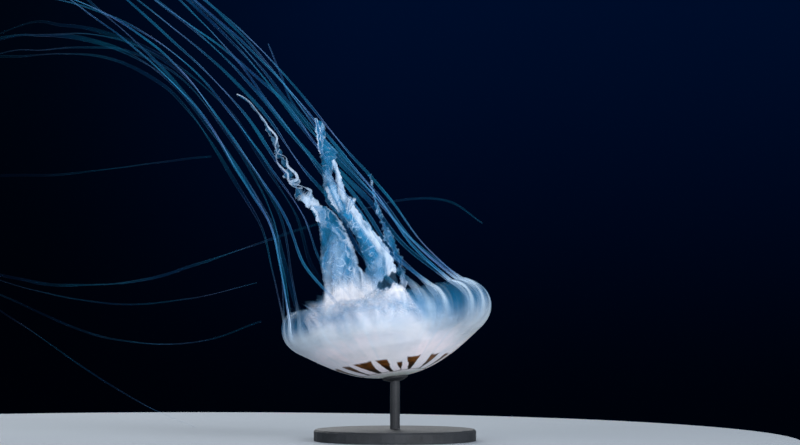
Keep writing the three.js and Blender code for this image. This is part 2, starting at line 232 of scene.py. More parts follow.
class Nodes:
    """The nodes of a tree, wired by short calls."""

    def __init__(self, tree):
        self.tree = tree

    def node(self, kind, **settings):
        made = self.tree.nodes.new(kind)
        for key, value in settings.items():
            setattr(made, key, value)
        return made

    def join(self, value, socket):
        if isinstance(value, bpy.types.NodeSocket):
            self.tree.links.new(value, socket)
        else:
            socket.default_value = value

    def math(self, operation, *values, clamp=False):
        made = self.node("ShaderNodeMath", operation=operation, use_clamp=clamp)
        for value, socket in zip(values, made.inputs):
            self.join(value, socket)
        return made.outputs[0]

    def attribute(self, name):
        return self.node("ShaderNodeAttribute", attribute_name=name).outputs["Fac"]

    def place(self):
        return self.node("ShaderNodeTexCoord").outputs["Object"]

    def noise(self, scale, detail=3, roughness=0.5, vector=None, distortion=0):
        made = self.node("ShaderNodeTexNoise")
        self.join(vector or self.place(), made.inputs["Vector"])
        made.inputs["Scale"].default_value = scale
        made.inputs["Detail"].default_value = detail
        made.inputs["Roughness"].default_value = roughness
        made.inputs["Distortion"].default_value = distortion
        return made.outputs["Fac"]

    def ramp(self, value, low, high, start=0.0, end=1.0, soft=True):
        made = self.node("ShaderNodeMapRange", interpolation_type="SMOOTHSTEP" if soft else "LINEAR")
        inputs = {"Value": value, "From Min": low, "From Max": high, "To Min": start, "To Max": end}
        for key, number in inputs.items():
            self.join(number, made.inputs[key])
        return made.outputs["Result"]

    def mix(self, part, low, high):
        made = self.node("ShaderNodeMix", data_type="RGBA")
        self.join(part, made.inputs["Factor"])
        for value, key in ((low, "A"), (high, "B")):
            socket = [s for s in made.inputs if s.name == key and s.type == "RGBA"][0]
            self.join(value if isinstance(value, bpy.types.NodeSocket) else (*value, 1), socket)
        return [s for s in made.outputs if s.type == "RGBA"][0]


class Paint(Nodes):
    """A material, with the nodes that feed its principled shader."""

    def __init__(self, name):
        self.material = bpy.data.materials.new(name)
        self.material.use_nodes = True
        super().__init__(self.material.node_tree)
        self.shader = self.tree.nodes["Principled BSDF"]

    def bump(self, height, strength, distance):
        made = self.node("ShaderNodeBump")
        made.inputs["Strength"].default_value = strength
        made.inputs["Distance"].default_value = distance
        self.join(height, made.inputs["Height"])
        self.tree.links.new(made.outputs[0], self.shader.inputs["Normal"])

    def set(self, **values):
        for key, value in values.items():
            socket = self.shader.inputs[key.replace("_", " ")]
            if not isinstance(value, bpy.types.NodeSocket) and socket.type == "RGBA":
                value = (*value, 1)
            self.join(value, socket)


# ---------------------------------------------------------------------------
# Bell shape

CROWN_OUTLINE = [(0, 0), (30, 0), (46, 12.8), (66, 27)]
SHOULDER_OUTLINE = [(66, 27), (78, 35.5), (79, 52), (65, RIM_HEIGHT)]


def tilt():
    a, b = math.radians(-BACK_TILT), math.radians(-SIDE_TILT)
    about_x = np.array([[1, 0, 0], [0, math.cos(a), -math.sin(a)], [0, math.sin(a), math.cos(a)]])
    about_y = np.array([[math.cos(b), 0, math.sin(b)], [0, 1, 0], [-math.sin(b), 0, math.cos(b)]])
    return about_x @ about_y


BELL_TURN = tilt()


def wall_point(along, depth):
    """Radius and height on the bell wall; depth is measured inwards from the outer face."""
    along = np.asarray(along, float)
    low, low_slope = bezier(CROWN_OUTLINE, np.clip(along * 2, 0, 1))
    high, high_slope = bezier(SHOULDER_OUTLINE, np.clip(along * 2 - 1, 0, 1))
    upper = (along >= 0.5)[..., None]
    on = np.where(upper, high, low)
    slope = np.where(upper, high_slope, low_slope)
    return on[..., 0] - slope[..., 1] * depth, on[..., 1] + slope[..., 0] * depth


def wall_thickness(along):
    return RIM_WALL + (CROWN_WALL - RIM_WALL) * (1 - np.asarray(along, float)) ** 1.6


def around_bell(azimuth, radius, height):
    """A point in space. The rim stands wider on the -X side, and lower there and at the front."""
    azimuth, radius, height = np.broadcast_arrays(np.asarray(azimuth, float), radius, height)
    reach = smooth(0, AXIS_REACH, radius)
    opened = reach * np.maximum(0, (height - CURL_START) / (RIM_HEIGHT - CURL_START)) ** 2
    wide = radius + LEFT_OPENING * opened * (1 - np.cos(azimuth)) / 2
    drop = SIDE_DROP * (1 - reach * np.cos(azimuth)) - FRONT_DROP * reach * np.sin(azimuth)
    lowered = height - drop * (height / RIM_HEIGHT) ** 2
    own = np.stack([wide * np.cos(azimuth), wide * np.sin(azimuth), lowered], axis=-1)
    return own @ BELL_TURN.T + np.array([0, 0, CROWN_Z])


def past_rim(azimuth, length, depth):
    slope = bezier(SHOULDER_OUTLINE, 1.0)[1]
    radius, height = wall_point(1.0, depth)
    return around_bell(azimuth, radius + slope[0] * length, height + slope[1] * length)


def azimuth_of(index):
    octant, cleft = divmod(index, PER_OCTANT)
    return (octant + (cleft + 1) / (PER_OCTANT + 1)) / OCTANTS * TURN


def before_stomach(azimuth):
    """1 where the wall stands before the stomach as seen from the front, 0 elsewhere."""
    middle = 0.5 + 0.15 * np.cos(azimuth)
    return smooth(middle, middle + 0.35, -np.sin(azimuth)) * smooth(0.62, 0.10, np.cos(azimuth))


def tongues(azimuth, s, up):
    """The white tongue on the wall below each tentacle: 1 along its middle, 0 beside it."""
    cleft = azimuth / TURN * LAPPETS
    nearest = np.round(cleft) % LAPPETS
    bears = (nearest.astype(int) % (PER_OCTANT + 1)) != 0
    longer = scatter(nearest, 61)
    half = np.interp(s, [0.55, 0.75, 0.88, 1], [0.42, 0.40, 0.29, 0.17]) * (0.8 + 0.5 * scatter(nearest, 62))
    lean = 0.12 * (scatter(nearest, 63) - 0.5) * (1 - s) * 10
    across = np.abs(cleft - np.round(cleft) + lean) / half
    start = 0.48 + 0.12 * longer
    clear = 1 - 0.85 * before_stomach(azimuth)
    return (bears * clear * smooth(1, 0, across) * smooth(start, start + 0.28, s) * (0.6 + 0.4 * longer)
            * (1 - 0.5 * up))


def rays(azimuth, s, seed):
    """Fine uneven streaks from crown to rim, between -1 and 1."""
    return (0.40 * np.sin(azimuth * 37 + 2.4 * np.sin(azimuth * 5 + seed) + s * 2)
            + 0.35 * np.sin(azimuth * 59 + 1.9 * np.sin(azimuth * 7 + seed * 2) - s * 3)
            + 0.25 * np.sin(azimuth * 101 + 2.2 * np.sin(azimuth * 11 + seed * 3)))


WEDGE_CENTRE = 5.5  # millimetres towards +X that the wedges point to
WEDGE_INNER = 0.140  # share of the way from crown to rim
WEDGE_OUTER = 0.288
FRONT_WEDGES = [  # degrees round the bell, half width in degrees, share of the full length
    (211, 5.0, 1), (231.5, 9.4, 1), (251.5, 5.8, 1), (268, 3.0, 0.72),
    (284, 7.3, 1), (311.5, 6.0, 1), (338, 6.0, 1),
]
OTHER_WEDGES = [(338 + 23.3 * k, 6.4 + 1.6 * math.sin(k * 2.3), 1) for k in range(1, 10)]


def wedge_margin(azimuth, s):
    """How far inside one of the sixteen brown wedges a place lies, in millimetres; less than 0 outside."""
    radius = wall_point(s, 0)[0]
    inner, outer = (float(wall_point(end, 0)[0]) for end in (WEDGE_INNER, WEDGE_OUTER))
    x, y = radius * np.cos(azimuth) - WEDGE_CENTRE, radius * np.sin(azimuth)
    turn = np.degrees(np.arctan2(y, x))
    out = np.clip((radius - inner) / (outer - inner), 0, 1)
    best = np.full_like(radius, -9.0)
    for centre, half, length in FRONT_WEDGES + OTHER_WEDGES:
        aside = np.abs((turn - centre + 180) % 360 - 180)
        side = np.radians(half * (0.35 + 0.65 * out / length) - aside) * np.hypot(x, y)
        end = (blend(inner, outer, length) - radius) * 0.45
        best = np.maximum(best, np.minimum(np.minimum(side, end), radius - inner))
    return best


OUTER_END = 0.60  # share of the rows from crown to rim, then over the lappet and back to the crown
LAPPET_END = 0.66
EDGE_END = 0.69
BACK_END = 0.75


def bell_place(along, across):
    azimuth = across * TURN
    out = np.clip(along / OUTER_END, 0, 1)
    back = 1 - np.clip((along - BACK_END) / (1 - BACK_END), 0, 1)
    lobe = np.abs(np.sin(azimuth * LAPPETS / 2)) ** 0.6
    reach = CLEFT_LENGTH + (LAPPET_LENGTH - CLEFT_LENGTH) * lobe
    up = np.where(along < LAPPET_END, (along - OUTER_END) / (LAPPET_END - OUTER_END),
                  (BACK_END - along) / (BACK_END - EDGE_END))
    up = np.clip(up, 0, 1)
    over = np.clip((along - LAPPET_END) / (EDGE_END - LAPPET_END), 0, 1)
    inner = smooth(0, 1, over)
    past = up * reach + np.sin(over * math.pi) * 0.35
    # radius and height on the outer wall, the inner wall and the lappets
    outside = along <= OUTER_END
    inside = along >= BACK_END
    s = np.where(outside, out, np.where(inside, back, 1.0))
    depth = np.where(outside, 0.0, np.where(inside, wall_thickness(back), inner * RIM_WALL))
    thin = 0.55 * smooth(0, 1, up) * (~outside & ~inside)
    depth = depth + thin * (1 - 2 * inner)
    radius, height = wall_point(s, depth)
    slope = bezier(SHOULDER_OUTLINE, 1.0)[1]
    past = np.where(outside | inside, 0, past)
    radius = radius + slope[0] * past
    height = height + slope[1] * past
    # flutes that grow towards the rim, and slow uneven waves
    flute = 0.55 * smooth(0.55, 1.0, s) * np.cos(azimuth * LAPPETS / 2) * (1 - 0.4 * np.cos(azimuth * 3 + 1))
    wave = 0.7 * smooth(0.25, 0.8, s) * np.sin(azimuth * 5 + 2.1 * np.sin(azimuth * 2) + s * 4)
    frill = 0.9 * smooth(0.2, 1, up) * np.sin(azimuth * LAPPETS + 0.8) * (~outside & ~inside)
    radius = radius + flute + wave * 0.6 + frill
    points = around_bell(azimuth, radius, height)
    return points, {
        "wall": np.where(outside, s, np.where(inside, back, 1 + up * reach / LAPPET_LENGTH)),
        "inside": inside.astype(float),
        "wedge": wedge_margin(azimuth, s),
        "tongue": tongues(azimuth, s, up),
        "rays": rays(azimuth, s, 0.7),
        "dense": (smooth(-15, -62, points[:, 0]) * smooth(0.95, 0.62, s) * (outside | inside)
                  + smooth(50, 68, points[:, 0]) * smooth(1.0, 0.85, s)),
    }


# ---------------------------------------------------------------------------
# Stomach shape

STOMACH_RADIUS = 47
STOMACH_SIDE = [[47, 32, 0], [45.6, 42, 0], [38.5, 49, 0], [24.4, 53.4, 0], [10.3, 55.6, 0], [0, 55.6, 0]]
STOMACH_REACH = 0.36
POUCHES = 4
POUCH_SWELL = [  # share of the rise, and how much the pouches swell there
    (0, 0), (0.2, 0.04), (0.45, 0.08), (0.6, 0.1), (0.8, 0.05), (1, 0),
]


def folds(azimuth, height, seed):
    """Uneven folds, between about -1 and 1."""
    a = azimuth
    return (0.42 * np.sin(a * 7 + 1.3 * np.sin(a * 3 + seed) + height * 0.11)
            + 0.33 * np.sin(a * 13 + 2.2 * np.sin(a * 4 + seed * 2) - height * 0.19)
            + 0.25 * np.sin(a * 23 + 1.7 * np.sin(a * 5 + seed * 3) + height * 0.33))


MILK_TOP = [  # x and z, falling to +X
    [0, 114], [3.6, 109], [10.7, 103], [17.9, 96], [25, 85], [39, 75], [60, 68],
]


def thin_side(points):
    """The milk is thin on the +X side, above the bowl of the bell."""
    over = points[:, 2] - np.interp(points[:, 0], *np.transpose(MILK_TOP))
    return smooth(-22, 6, over) * smooth(-2, 8, points[:, 0])


SHADE_GAP = [[-14, 107.5], [5, 120.5]]  # x and z of the ends of the painted shade at the foot of the front arm: a fold in shade, shown by leaving the frills out so that the dark background shows
SHADE_GAP_HALF = 4.6  # its half width
SHADE_GAP_LOSS = 0.94  # share of the frills that is missing inside it


def outside_shade_gap(points):
    """How much frill there is: little inside the fold at the foot of the front arm, a leaf with an uneven
    edge, and 1 beside it. Leaving the frills out there is painted shade: the dark background shows as the
    shade in that fold.
    """
    start, end = np.array(SHADE_GAP)
    place = points[:, [0, 2]] - start
    along = place @ (end - start) / np.sum((end - start) ** 2)
    away = np.linalg.norm(place - along[:, None] * (end - start), axis=1)
    x, z = points[:, 0], points[:, 2]
    uneven = 0.9 * np.sin(x * 0.9 + z * 0.5) + 0.5 * np.sin(x * 2.1 - z)
    half = SHADE_GAP_HALF * np.sin(math.pi * np.clip(along, 0, 1)) ** 0.8 + uneven * (np.abs(along - 0.5) < 0.5)
    return 1 - SHADE_GAP_LOSS * smooth(1.4, -1.4, away - half)


def stomach_place(along, across):
    azimuth = across * TURN
    floor_end = 0.35
    on_floor = along < floor_end
    s = STOMACH_REACH * np.clip(along / floor_end, 0, 1)
    floor_radius, floor_height = wall_point(s, wall_thickness(s) + 0.6)
    rise = np.clip((along - floor_end) / (1 - floor_end), 0, 1)
    profile = Line(through([[floor_radius.max(), floor_height.max(), 0], *STOMACH_SIDE], even=False))
    side = profile.point(rise * profile.length)
    swell = np.interp(rise, *np.transpose(POUCH_SWELL))
    lobe = 1 + swell * np.cos(azimuth * POUCHES)
    radius = side[:, 0] * lobe
    height = side[:, 1] * (1 + (lobe - 1) / 3)
    ruffle = folds(azimuth, height, 0.4)
    strength = smooth(0.1, 0.4, rise) * smooth(1, 0.75, rise)
    radius = radius * (1 + 0.05 * ruffle * strength)
    height = height + 1.6 * strength * folds(azimuth, radius, 2.0)
    radius = np.where(on_floor, floor_radius, radius)
    height = np.where(on_floor, floor_height, height)
    lean = COLLAR_SHIFT / 2 * (smooth(0.2, 1, rise) * ~on_floor)[:, None]
    points = around_bell(azimuth, radius, height) + lean
    return points, {"rise": np.where(on_floor, 0, rise), "thin": thin_side(points)}


# ---------------------------------------------------------------------------
# Mouth arms: thin sheets of jelly, ruffled along their edges

# A web hangs between two edges, and a ribbon follows a path with half widths along it. Both run from
# the stomach to the tip, in millimetres. bulge: how far the middle stands out to the front. ruffle: how
# deep the frills of the left and right edges are. white: how far in they are white, 1 to the middle.
# facing: degrees that a ribbon is turned from facing the front. turns: how often it winds round itself.
# lean: how far it lies to one side of its path. soft: how far out towards each edge it begins to thin,
# and fade: how much. faded: it thins at both ends too. faint: how much of all this shows. milky: the
# height where the milk of its foot ends.
ARMS = {
    "mouth_arm_left": {"nodes": ["base", "curl"], "seed": 1.0, "sheets": [
        {"left": [[-49, -4, 98], [-51, -4, 113], [-53, -3, 126], [-53, -3, 139], [-54, -3, 150],
                  [-55, -3, 161], [-59, -3, 168]],
         "right": [[-31, 0, 98], [-27, -1, 113], [-26, -2, 126], [-30, -3, 138], [-35, -3, 150],
                   [-41, -2, 160], [-49, -2, 167]],
         "bulge": 5, "ruffle": [0.5, 0.8], "white": [0.12, 0.22]},
        {"left": [[-44, 4, 100], [-44, 4, 115], [-41, 5, 126], [-38, 5, 136], [-41, 4, 145], [-46, 3, 153]],
         "right": [[-25, 2, 100], [-25, 3, 115], [-26, 4, 125], [-28, 4, 133], [-32, 3, 143],
                   [-41, 2, 153]],
         "bulge": -4, "ruffle": [1.6, 1.4], "white": [0.5, 0.6]},
        {"path": [[-50, -4, 117], [-50, -5, 128], [-47, -6, 136], [-41, -6, 141], [-36, -5, 139],
                  [-34, -4, 133], [-37, -4, 128], [-43, -4, 126]],
         "half": [3, 4, 4, 4, 3, 3, 2, 1], "facing": 65, "ruffle": [0.6, 0.6], "white": [0.12, 0.12],
         "faded": True},
        {"path": [[-45, -6, 104], [-38, -6, 113], [-33, -5, 122], [-31, -4, 131]],
         "half": [4, 4, 3, 1], "facing": 60, "ruffle": [0.8, 0.8], "white": [0.2, 0.2]},
        {"path": [[-40, 0, 98], [-43, 0, 115], [-43, 0, 135], [-46, 0, 152], [-52, 0, 164]],
         "half": [11, 12, 11, 8, 4], "facing": 82, "ruffle": [1.5, 1.5], "white": [0.1, 0.1]},
        {"path": [[-50, -2, 150], [-53, -2, 161], [-57, -1, 168], [-63, 0, 172], [-68, 0, 177]],
         "half": [2.5, 3.5, 4.5, 4.5, 3.5], "facing": 25, "ruffle": [1.8, 1.8], "white": [1, 1],
         "faded": True},
        {"path": [[-65, 0, 174], [-70, 0, 180], [-74, 0, 187], [-76, 0, 193], [-80, 0, 199], [-83, 0, 207],
                  [-87, 0, 214], [-90, 0, 222], [-96, 0, 231], [-102, 0, 239], [-108, 0, 244],
                  [-113, 0, 247]],
         "half": [4.6, 3.2, 4.2, 2.2, 2.8, 2.6, 1.6, 1.7, 0.8, 0.7, 0.5, 0.5], "facing": 30, "turns": 5.2,
         "lean": 0.35, "ruffle": [0.9, 1.3], "white": [0.1, 0.2], "faint": 0.6},
        {"path": [[-62, -2, 175], [-60, -3, 178], [-68, -3, 182], [-75, -2, 184], [-70, -1, 186.5],
                  [-70.6, -2, 190], [-76.5, -2, 196], [-77.8, -1, 202], [-83.7, -1, 205.3],
                  [-85.4, -1, 210.6], [-84.3, -1, 216], [-91, -1, 224.5], [-92, 0, 226.6], [-99, 0, 236],
                  [-103, 0, 241], [-108, 0, 245], [-113, 0, 247.3]],
         "half": [1.6, 1.5, 1.2, 1.3, 1.1, 1.0, 1.1, 0.8, 0.9, 0.8, 0.7, 0.6, 0.6, 0.5, 0.5, 0.4, 0.4],
         "facing": 20, "turns": 1.4, "ruffle": [0.5, 0.5], "white": [1, 1], "faint": 0.6},
        {"path": [[-66, -2, 180], [-72, -3, 181], [-76, -3, 186], [-76.5, -2, 190.5], [-80, -2, 194],
                  [-84, -2, 198.5], [-84.5, -1, 204], [-82, -1, 208]],
         "half": [0.8, 1.0, 0.9, 0.7, 0.8, 0.9, 0.7, 0.4], "facing": 40, "turns": 0.8, "ruffle": [0.4, 0.4],
         "white": [0.8, 0.8], "faint": 0.5},
    ]},
    "mouth_arm_front": {"nodes": ["base", "curl"], "seed": 2.3, "sheets": [
        {"path": [[-3, -9, 100], [-3, -10, 119], [-6, -11, 130], [-11, -12, 139], [-19, -13, 149],
                  [-27, -14, 160], [-33, -16, 169], [-37, -17, 175], [-39, -17, 183], [-41, -17, 192],
                  [-44, -18, 200]],
         "half": [4.2, 4.6, 4.4, 4.2, 4.0, 3.8, 3.3, 3.1, 2.8, 2.3, 1.2], "facing": 0, "turns": 0.1,
         "ruffle": [0.6, 1.0], "white": [1, 1], "soft": [0.0, 0.75]},
        {"left": [[-24, -6, 98], [-23, -7, 115], [-21, -8, 125], [-24, -9, 135], [-29, -10, 147],
                  [-36, -12, 159], [-42, -14, 167], [-46, -15, 174], [-46, -16, 182]],
         "right": [[-4, -9, 98], [-4, -10, 119], [-7, -11, 130], [-13, -12, 139], [-21, -14, 149],
                   [-29, -16, 160], [-34, -16, 169], [-39, -17, 175], [-41, -17, 183]],
         "bulge": 4, "ruffle": [0.8, 0.3], "white": [0.1, 0.0], "milky": 126},
        {"path": [[-12, -8, 98], [-11, -10, 115], [-13, -11, 130], [-22, -13, 145], [-33, -15, 160],
                  [-40, -16, 172]],
         "half": [9, 10, 9, 7, 5, 3], "facing": 75, "ruffle": [1.5, 1.3], "white": [0.1, 0.08]},
        {"path": [[-34, -18, 161], [-32, -19, 168], [-30, -20, 174]],
         "half": [1, 2.6, 3], "facing": -20, "ruffle": [1.4, 1.4], "white": [0.7, 0.7], "faded": True},
    ]},
    "mouth_arm_back": {"nodes": ["base", "curl"], "seed": 3.9, "sheets": [
        {"left": [[-18, 13, 98], [-21, 12, 122], [-25, 11, 140], [-37, 12, 156], [-50, 14, 171],
                  [-51.5, 17, 181], [-52, 20, 190], [-53, 22, 198], [-54.5, 25, 207], [-56, 28, 216],
                  [-58, 29, 224], [-57, 30, 230]],
         "right": [[-5, 15, 98], [-8, 13, 122], [-15, 12, 140], [-26, 13, 156], [-38, 15, 170],
                   [-42, 18, 180], [-45, 20, 190], [-44, 22, 198], [-41.5, 25, 206], [-50, 28, 215],
                   [-50, 29, 222], [-52, 30, 228]],
         "bulge": 3, "ruffle": [1.0, 1.3], "white": [0.08, 0.15]},
        {"path": [[-12, 15, 98], [-13, 13, 122], [-19, 12, 142], [-31, 13, 158], [-45, 16, 175],
                  [-48, 20, 192], [-50, 25, 206], [-53, 28, 217]],
         "half": [9, 8, 7, 7, 6, 5, 4, 2], "facing": 70, "ruffle": [1.5, 1.3], "white": [0.08, 0.15]},
        *({"path": path, "half": half, "facing": facing, "ruffle": [1.4, 1.4], "white": [0.4, 0.5]}
          for path, half, facing in (
              ([[-53, 24, 205], [-54.5, 27, 218], [-57, 29, 231]], [1.6, 2.4, 0.8], 20),
              ([[-52, 26, 212], [-53, 28, 219], [-52, 30, 227]], [1.6, 2.2, 0.7], 55))),
        {"path": [[-38, 8, 162], [-43, 9, 172], [-48, 11, 183]],
         "half": [2, 4, 3], "facing": 10, "ruffle": [1.0, 1.0], "white": [0.7, 0.7], "faded": True},
    ]},
    "mouth_arm_right": {"nodes": ["whole"], "seed": 5.2, "sheets": [
        {"path": [[8, 2, 99], [5, 2, 120], [-1, 2, 138], [-8, 2, 153], [-13, 1, 168], [-16, 1, 180],
                  [-18, 1, 190]],
         "half": [2.6, 1.8, 1.2, 2.8, 2.2, 0.8, 1.4], "facing": 35, "turns": 1.8, "ruffle": [2.0, 2.2],
         "white": [0.15, 0.1]},
        {"path": [[8, 3, 99], [5, 3, 120], [-1, 2, 138], [-8, 2, 155]],
         "half": [5, 5, 4, 1.5], "facing": 90, "turns": 0.15, "ruffle": [1.3, 1.3], "white": [0.15, 0.15]},
    ]},
}
FRILL_COLLARS = [  # rings of folded frill that stand on the stomach: radius, height, rise, seed
    (46, 24, 30, 0.3), (43, 29, 27, 2.2), (40, 33, 25, 4.4), (35, 37, 24, 1.2),
    (32, 40, 23, 6.0), (29, 41, 23, 2.9), (22, 44, 21, 5.6), (15, 46, 21, 3.1),
]
COLLAR_SHIFT = np.array([-9.0, 0, 0])  # how far they lean over at the rim's height
COLLAR_LEVEL = 6.5  # how much they stand up on the low side of the bell
MOUTH_FLAPS = [
    {"left": [[-24, -27, 88], [-16, -26, 99], [-8, -25, 107], [2, -24, 113]],
     "right": [[24, -25, 86], [17, -24, 95], [11, -23, 103], [5, -23, 113]],
     "bulge": 3, "ruffle": [0.8, 0.8], "white": [1, 1], "soft": [0.3, 0.5], "faded": True},
    # a low swell of milk before the feet of the left and the front arm
    {"left": [[-60, -30, 84], [-49, -35, 84], [-38, -38, 84], [-27, -39, 85], [-16, -39, 87], [-5, -38, 89]],
     "right": [[-56, -17, 102], [-48, -17, 109], [-40, -16, 115], [-31, -15, 119], [-21, -15, 120],
               [-10, -16, 112]],
     "bulge": 3, "ruffle": [0.8, 1.6], "white": [1, 1], "soft": [0.0, 0.3], "fade": [1.0, 0.7],
     "faded": True, "faint": 0.56},
    # a web that closes the gap between the same two feet
    {"left": [[-38, -2, 97], [-34, -2, 110], [-31, -3, 119], [-29, -4, 124]],
     "right": [[-17, -3, 97], [-19, -4, 110], [-22, -5, 119], [-25, -5, 124]],
     "bulge": 1, "ruffle": [0.5, 0.5], "white": [0.5, 0.5], "milky": 124, "faint": 0.8},
]
MILKY_FROM = 100  # height up to which the arms are as milky as the stomach
MILKY_TO = 130  # height where that ends, unless a sheet gives its own
ARM_SHEET = 0.5  # thickness
SHEET_STEP = 0.45  # between the rows of a sheet
COLUMNS_PER_MM = 2
SHEET_COLUMNS = (14, 44)  # fewest and most


def rough_wave(distance, length, seed):
    """An uneven wave along a frill, with crests about length apart."""
    turn = distance / length * TURN
    return (np.sin(turn + seed + 1.1 * np.sin(turn * 0.37 + seed * 2))
            * (0.75 + 0.25 * np.sin(turn * 0.23 + seed * 5)))


def edges_of(sheet):
    """Two lines with as many points, the left and the right edge of a sheet."""
    if "left" in sheet:
        return [Line(through(sheet[side], even=False)) for side in ("left", "right")]
    middle = Line(through(sheet["path"], even=False))
    part = np.linspace(0, 1, 400)
    at = middle.point(part * middle.length)
    tangent = middle.tangent(part * middle.length)
    half = np.interp(part, np.linspace(0, 1, len(sheet["half"])), sheet["half"])
    angle = math.radians(sheet["facing"]) + part ** 0.85 * sheet.get("turns", 0) * TURN
    side = turned(unit(np.cross([0, 1, 0], tangent)), tangent, angle) * half[:, None]
    lean = sheet.get("lean", 0)
    return [Line(at - side * (1 - lean)), Line(at + side * (1 + lean))]


def sheet_place(sheet, edges, seed):
    low_edge, high_edge = edges

    def ends(part):
        part = np.clip(part, 0, 1)
        if "left" in sheet:
            return low_edge.point(part * low_edge.length), high_edge.point(part * high_edge.length)
        # a ribbon keeps its two edges level with each other
        row = np.linspace(0, 1, len(low_edge.points))
        return [np.stack([np.interp(part, row, line.points[:, k]) for k in range(3)], axis=-1)
                for line in (low_edge, high_edge)]

    length = (low_edge.length + high_edge.length) / 2

    def place(along, across):
        low, high = ends(along)
        step = 0.8 / length
        before, after = ends(along - step), ends(along + step)
        tangent = unit(after[0] + after[1] - before[0] - before[1])
        half = np.linalg.norm(high - low, axis=1) / 2
        side = (high - low) / 2 / half[:, None]
        front = unit(np.cross(side, tangent))
        v = np.sin((across - 0.5) * math.pi)  # rows of points closer together towards the edges
        edge = np.abs(v)
        right = v > 0
        distance = along * length
        own = seed + 2.7 * right
        depth = np.where(right, sheet["ruffle"][1], sheet["ruffle"][0]) * np.minimum(1, half / 3)
        long_wave = rough_wave(distance, 10.5, own)
        middle_wave = rough_wave(distance, 4.6, own + 1.3)
        fine_wave = rough_wave(distance, 2.1, own + 2.1)
        arch = np.sin(math.pi * np.clip(along * 0.9 + 0.1, 0, 1)) ** 0.5
        lift = sheet.get("bulge", 0) * (1 - v ** 2) * arch
        lift = lift + depth * (1.2 * long_wave * edge ** 2 + 0.7 * middle_wave * edge ** 4
                               + 0.4 * fine_wave * edge ** 8)
        out = depth * (0.5 * rough_wave(distance, 7.3, own + 3) * edge ** 3
                       + 0.35 * rough_wave(distance, 3.1, own + 4) * edge ** 6)
        slide = depth * (0.4 * rough_wave(distance, 4.6, own + 2.9) * edge ** 4
                         + 0.3 * rough_wave(distance, 2.1, own + 3.6) * edge ** 8)
        points = ((low + high) / 2 + side * (v * half + np.sign(v) * out)[:, None]
                  + front * lift[:, None] + tangent * slide[:, None])
        white = np.where(right, sheet["white"][1], sheet["white"][0])
        wander = 0.12 * rough_wave(distance, 12, own + 6) + 0.06 * rough_wave(distance, 4.3, own + 7)
        inner = 0.9 - 1.25 * white
        frill = smooth(inner, inner + 0.3, edge + wander * edge) * np.minimum(1, white / 0.25)
        pleat = 0.5 + 0.5 * rough_wave(distance + 0.8 * wander, 1.9, own + 5) * edge
        thick = smooth(1.02, 0.7, edge) * smooth(1, 0.97, along)
        shown = smooth(0, 0.25, along) * smooth(1, 0.8, along) if sheet.get("faded") else np.ones_like(along)
        soft = np.where(right, *reversed(sheet.get("soft", [0.82, 0.82])))
        fade = np.where(right, *reversed(sheet.get("fade", [0.7, 0.7])))
        # painted shade: the frills are left out in the shaded fold at the foot of the front arm
        shown = shown * sheet.get("faint", 1) * outside_shade_gap(points)
        return points, {
            "frill": frill,
            "base": smooth(sheet.get("milky", MILKY_TO), MILKY_FROM, points[:, 2]),
            "pleat": pleat,
            "thick": thick,
            "shown": shown * (1 - fade * smooth(soft, 1, edge)),
        }
    return place


def collar_place(radius, height, rise, seed):
    """A ruffled ring of frill that stands on the stomach."""
    def place(along, across):
        azimuth = across * TURN
        deep = folds(azimuth, height, seed)
        fine = folds(azimuth * 3, height, seed + 2)
        lobe = 1 + 0.08 * np.cos(azimuth * POUCHES)
        out = radius * lobe + along ** 1.2 * (4.2 * deep + 0.6 * fine * along) + 1.5 * along
        up = height + along * rise * (1 + 0.22 * folds(azimuth, height, seed + 4))
        full = np.ones_like(along)
        up = up - COLLAR_LEVEL * np.cos(azimuth) * radius / STOMACH_RADIUS
        points = around_bell(azimuth, out, up) + COLLAR_SHIFT * (up / RIM_HEIGHT)[:, None]
        outer_corner = smooth(-60, -66, points[:, 0]) * smooth(78, 88, points[:, 2])
        shown = smooth(0, 0.5, along) * smooth(1.02, 0.45, along) * (1 - 0.92 * thin_side(points))
        # painted shade: the frills are left out in the shaded fold at the foot of the front arm
        shown = shown * outside_shade_gap(points) * (1 - 0.8 * outer_corner)
        return points, {"frill": full, "base": full, "pleat": 0.85 + 0.15 * fine,
                        "thick": smooth(1.02, 0.6, along), "shown": shown}
    return place


# ---------------------------------------------------------------------------
# Tentacles

STREAM = [
    {"middle": [-34, 132], "edge": [54, 11], "depth": 51},
    {"middle": [-50.5, 164.5], "edge": [46, 11], "depth": 44},
    {"middle": [-74.5, 197.5], "edge": [43, 10], "depth": 40},
    {"middle": [-100, 232.5], "edge": [41, 7], "depth": 38},
    {"middle": [-122, 259], "edge": [39, 9], "depth": 38},
]
LANES = [1, 0.86, 0.7]
TRAILING = {
    8: (9, [[-332, 40, 270], [-360, 46, 250], [-366, 52, 222], [-348, 58, 199], [-316, 62, 190],
            [-282, 63, 190], [-246, 63, 190.5], [-205, 63, 195], [-168, 64, 200], [-134, 66, 204]]),
    9: (12, [[-352, 30, 268], [-384, 44, 228], [-378, 56, 178], [-335, 62, 134], [-268, 66, 113],
             [-225, 68, 110], [-182, 70, 114], [-139, 72, 127], [-89, 74, 144], [-40, 74, 160], [4, 74, 172],
             [39, 74, 171], [64, 74, 155]]),
    11: (16, [[-346, 12, 254], [-372, 20, 212], [-362, 26, 168], [-326, 30, 132], [-282, 32, 113],
              [-239, 34, 102], [-196, 34, 96.5], [-146, 36, 101], [-100, 38, 112]]),
    12: (15, [[-348, -14, 257], [-378, -22, 212], [-366, -28, 160], [-328, -32, 124], [-282, -34, 106],
              [-246, -36, 90], [-210, -38, 76], [-168, -40, 70], [-132, -42, 73], [-94, -44, 86]]),
    14: (14, [[-344, -34, 262], [-382, -46, 222], [-386, -56, 172], [-346, -62, 130], [-300, -64, 108],
              [-260, -66, 84], [-218, -68, 55], [-176, -68, 29], [-140, -68, 13]]),
}
LEFTWARD = [7, 15]
SHORT = [16, 17, 18, 19]
STEEP = 1
STEEP_END = [[-70, 15, 236], [-83, 17, 264], [-91, 18, 284]]


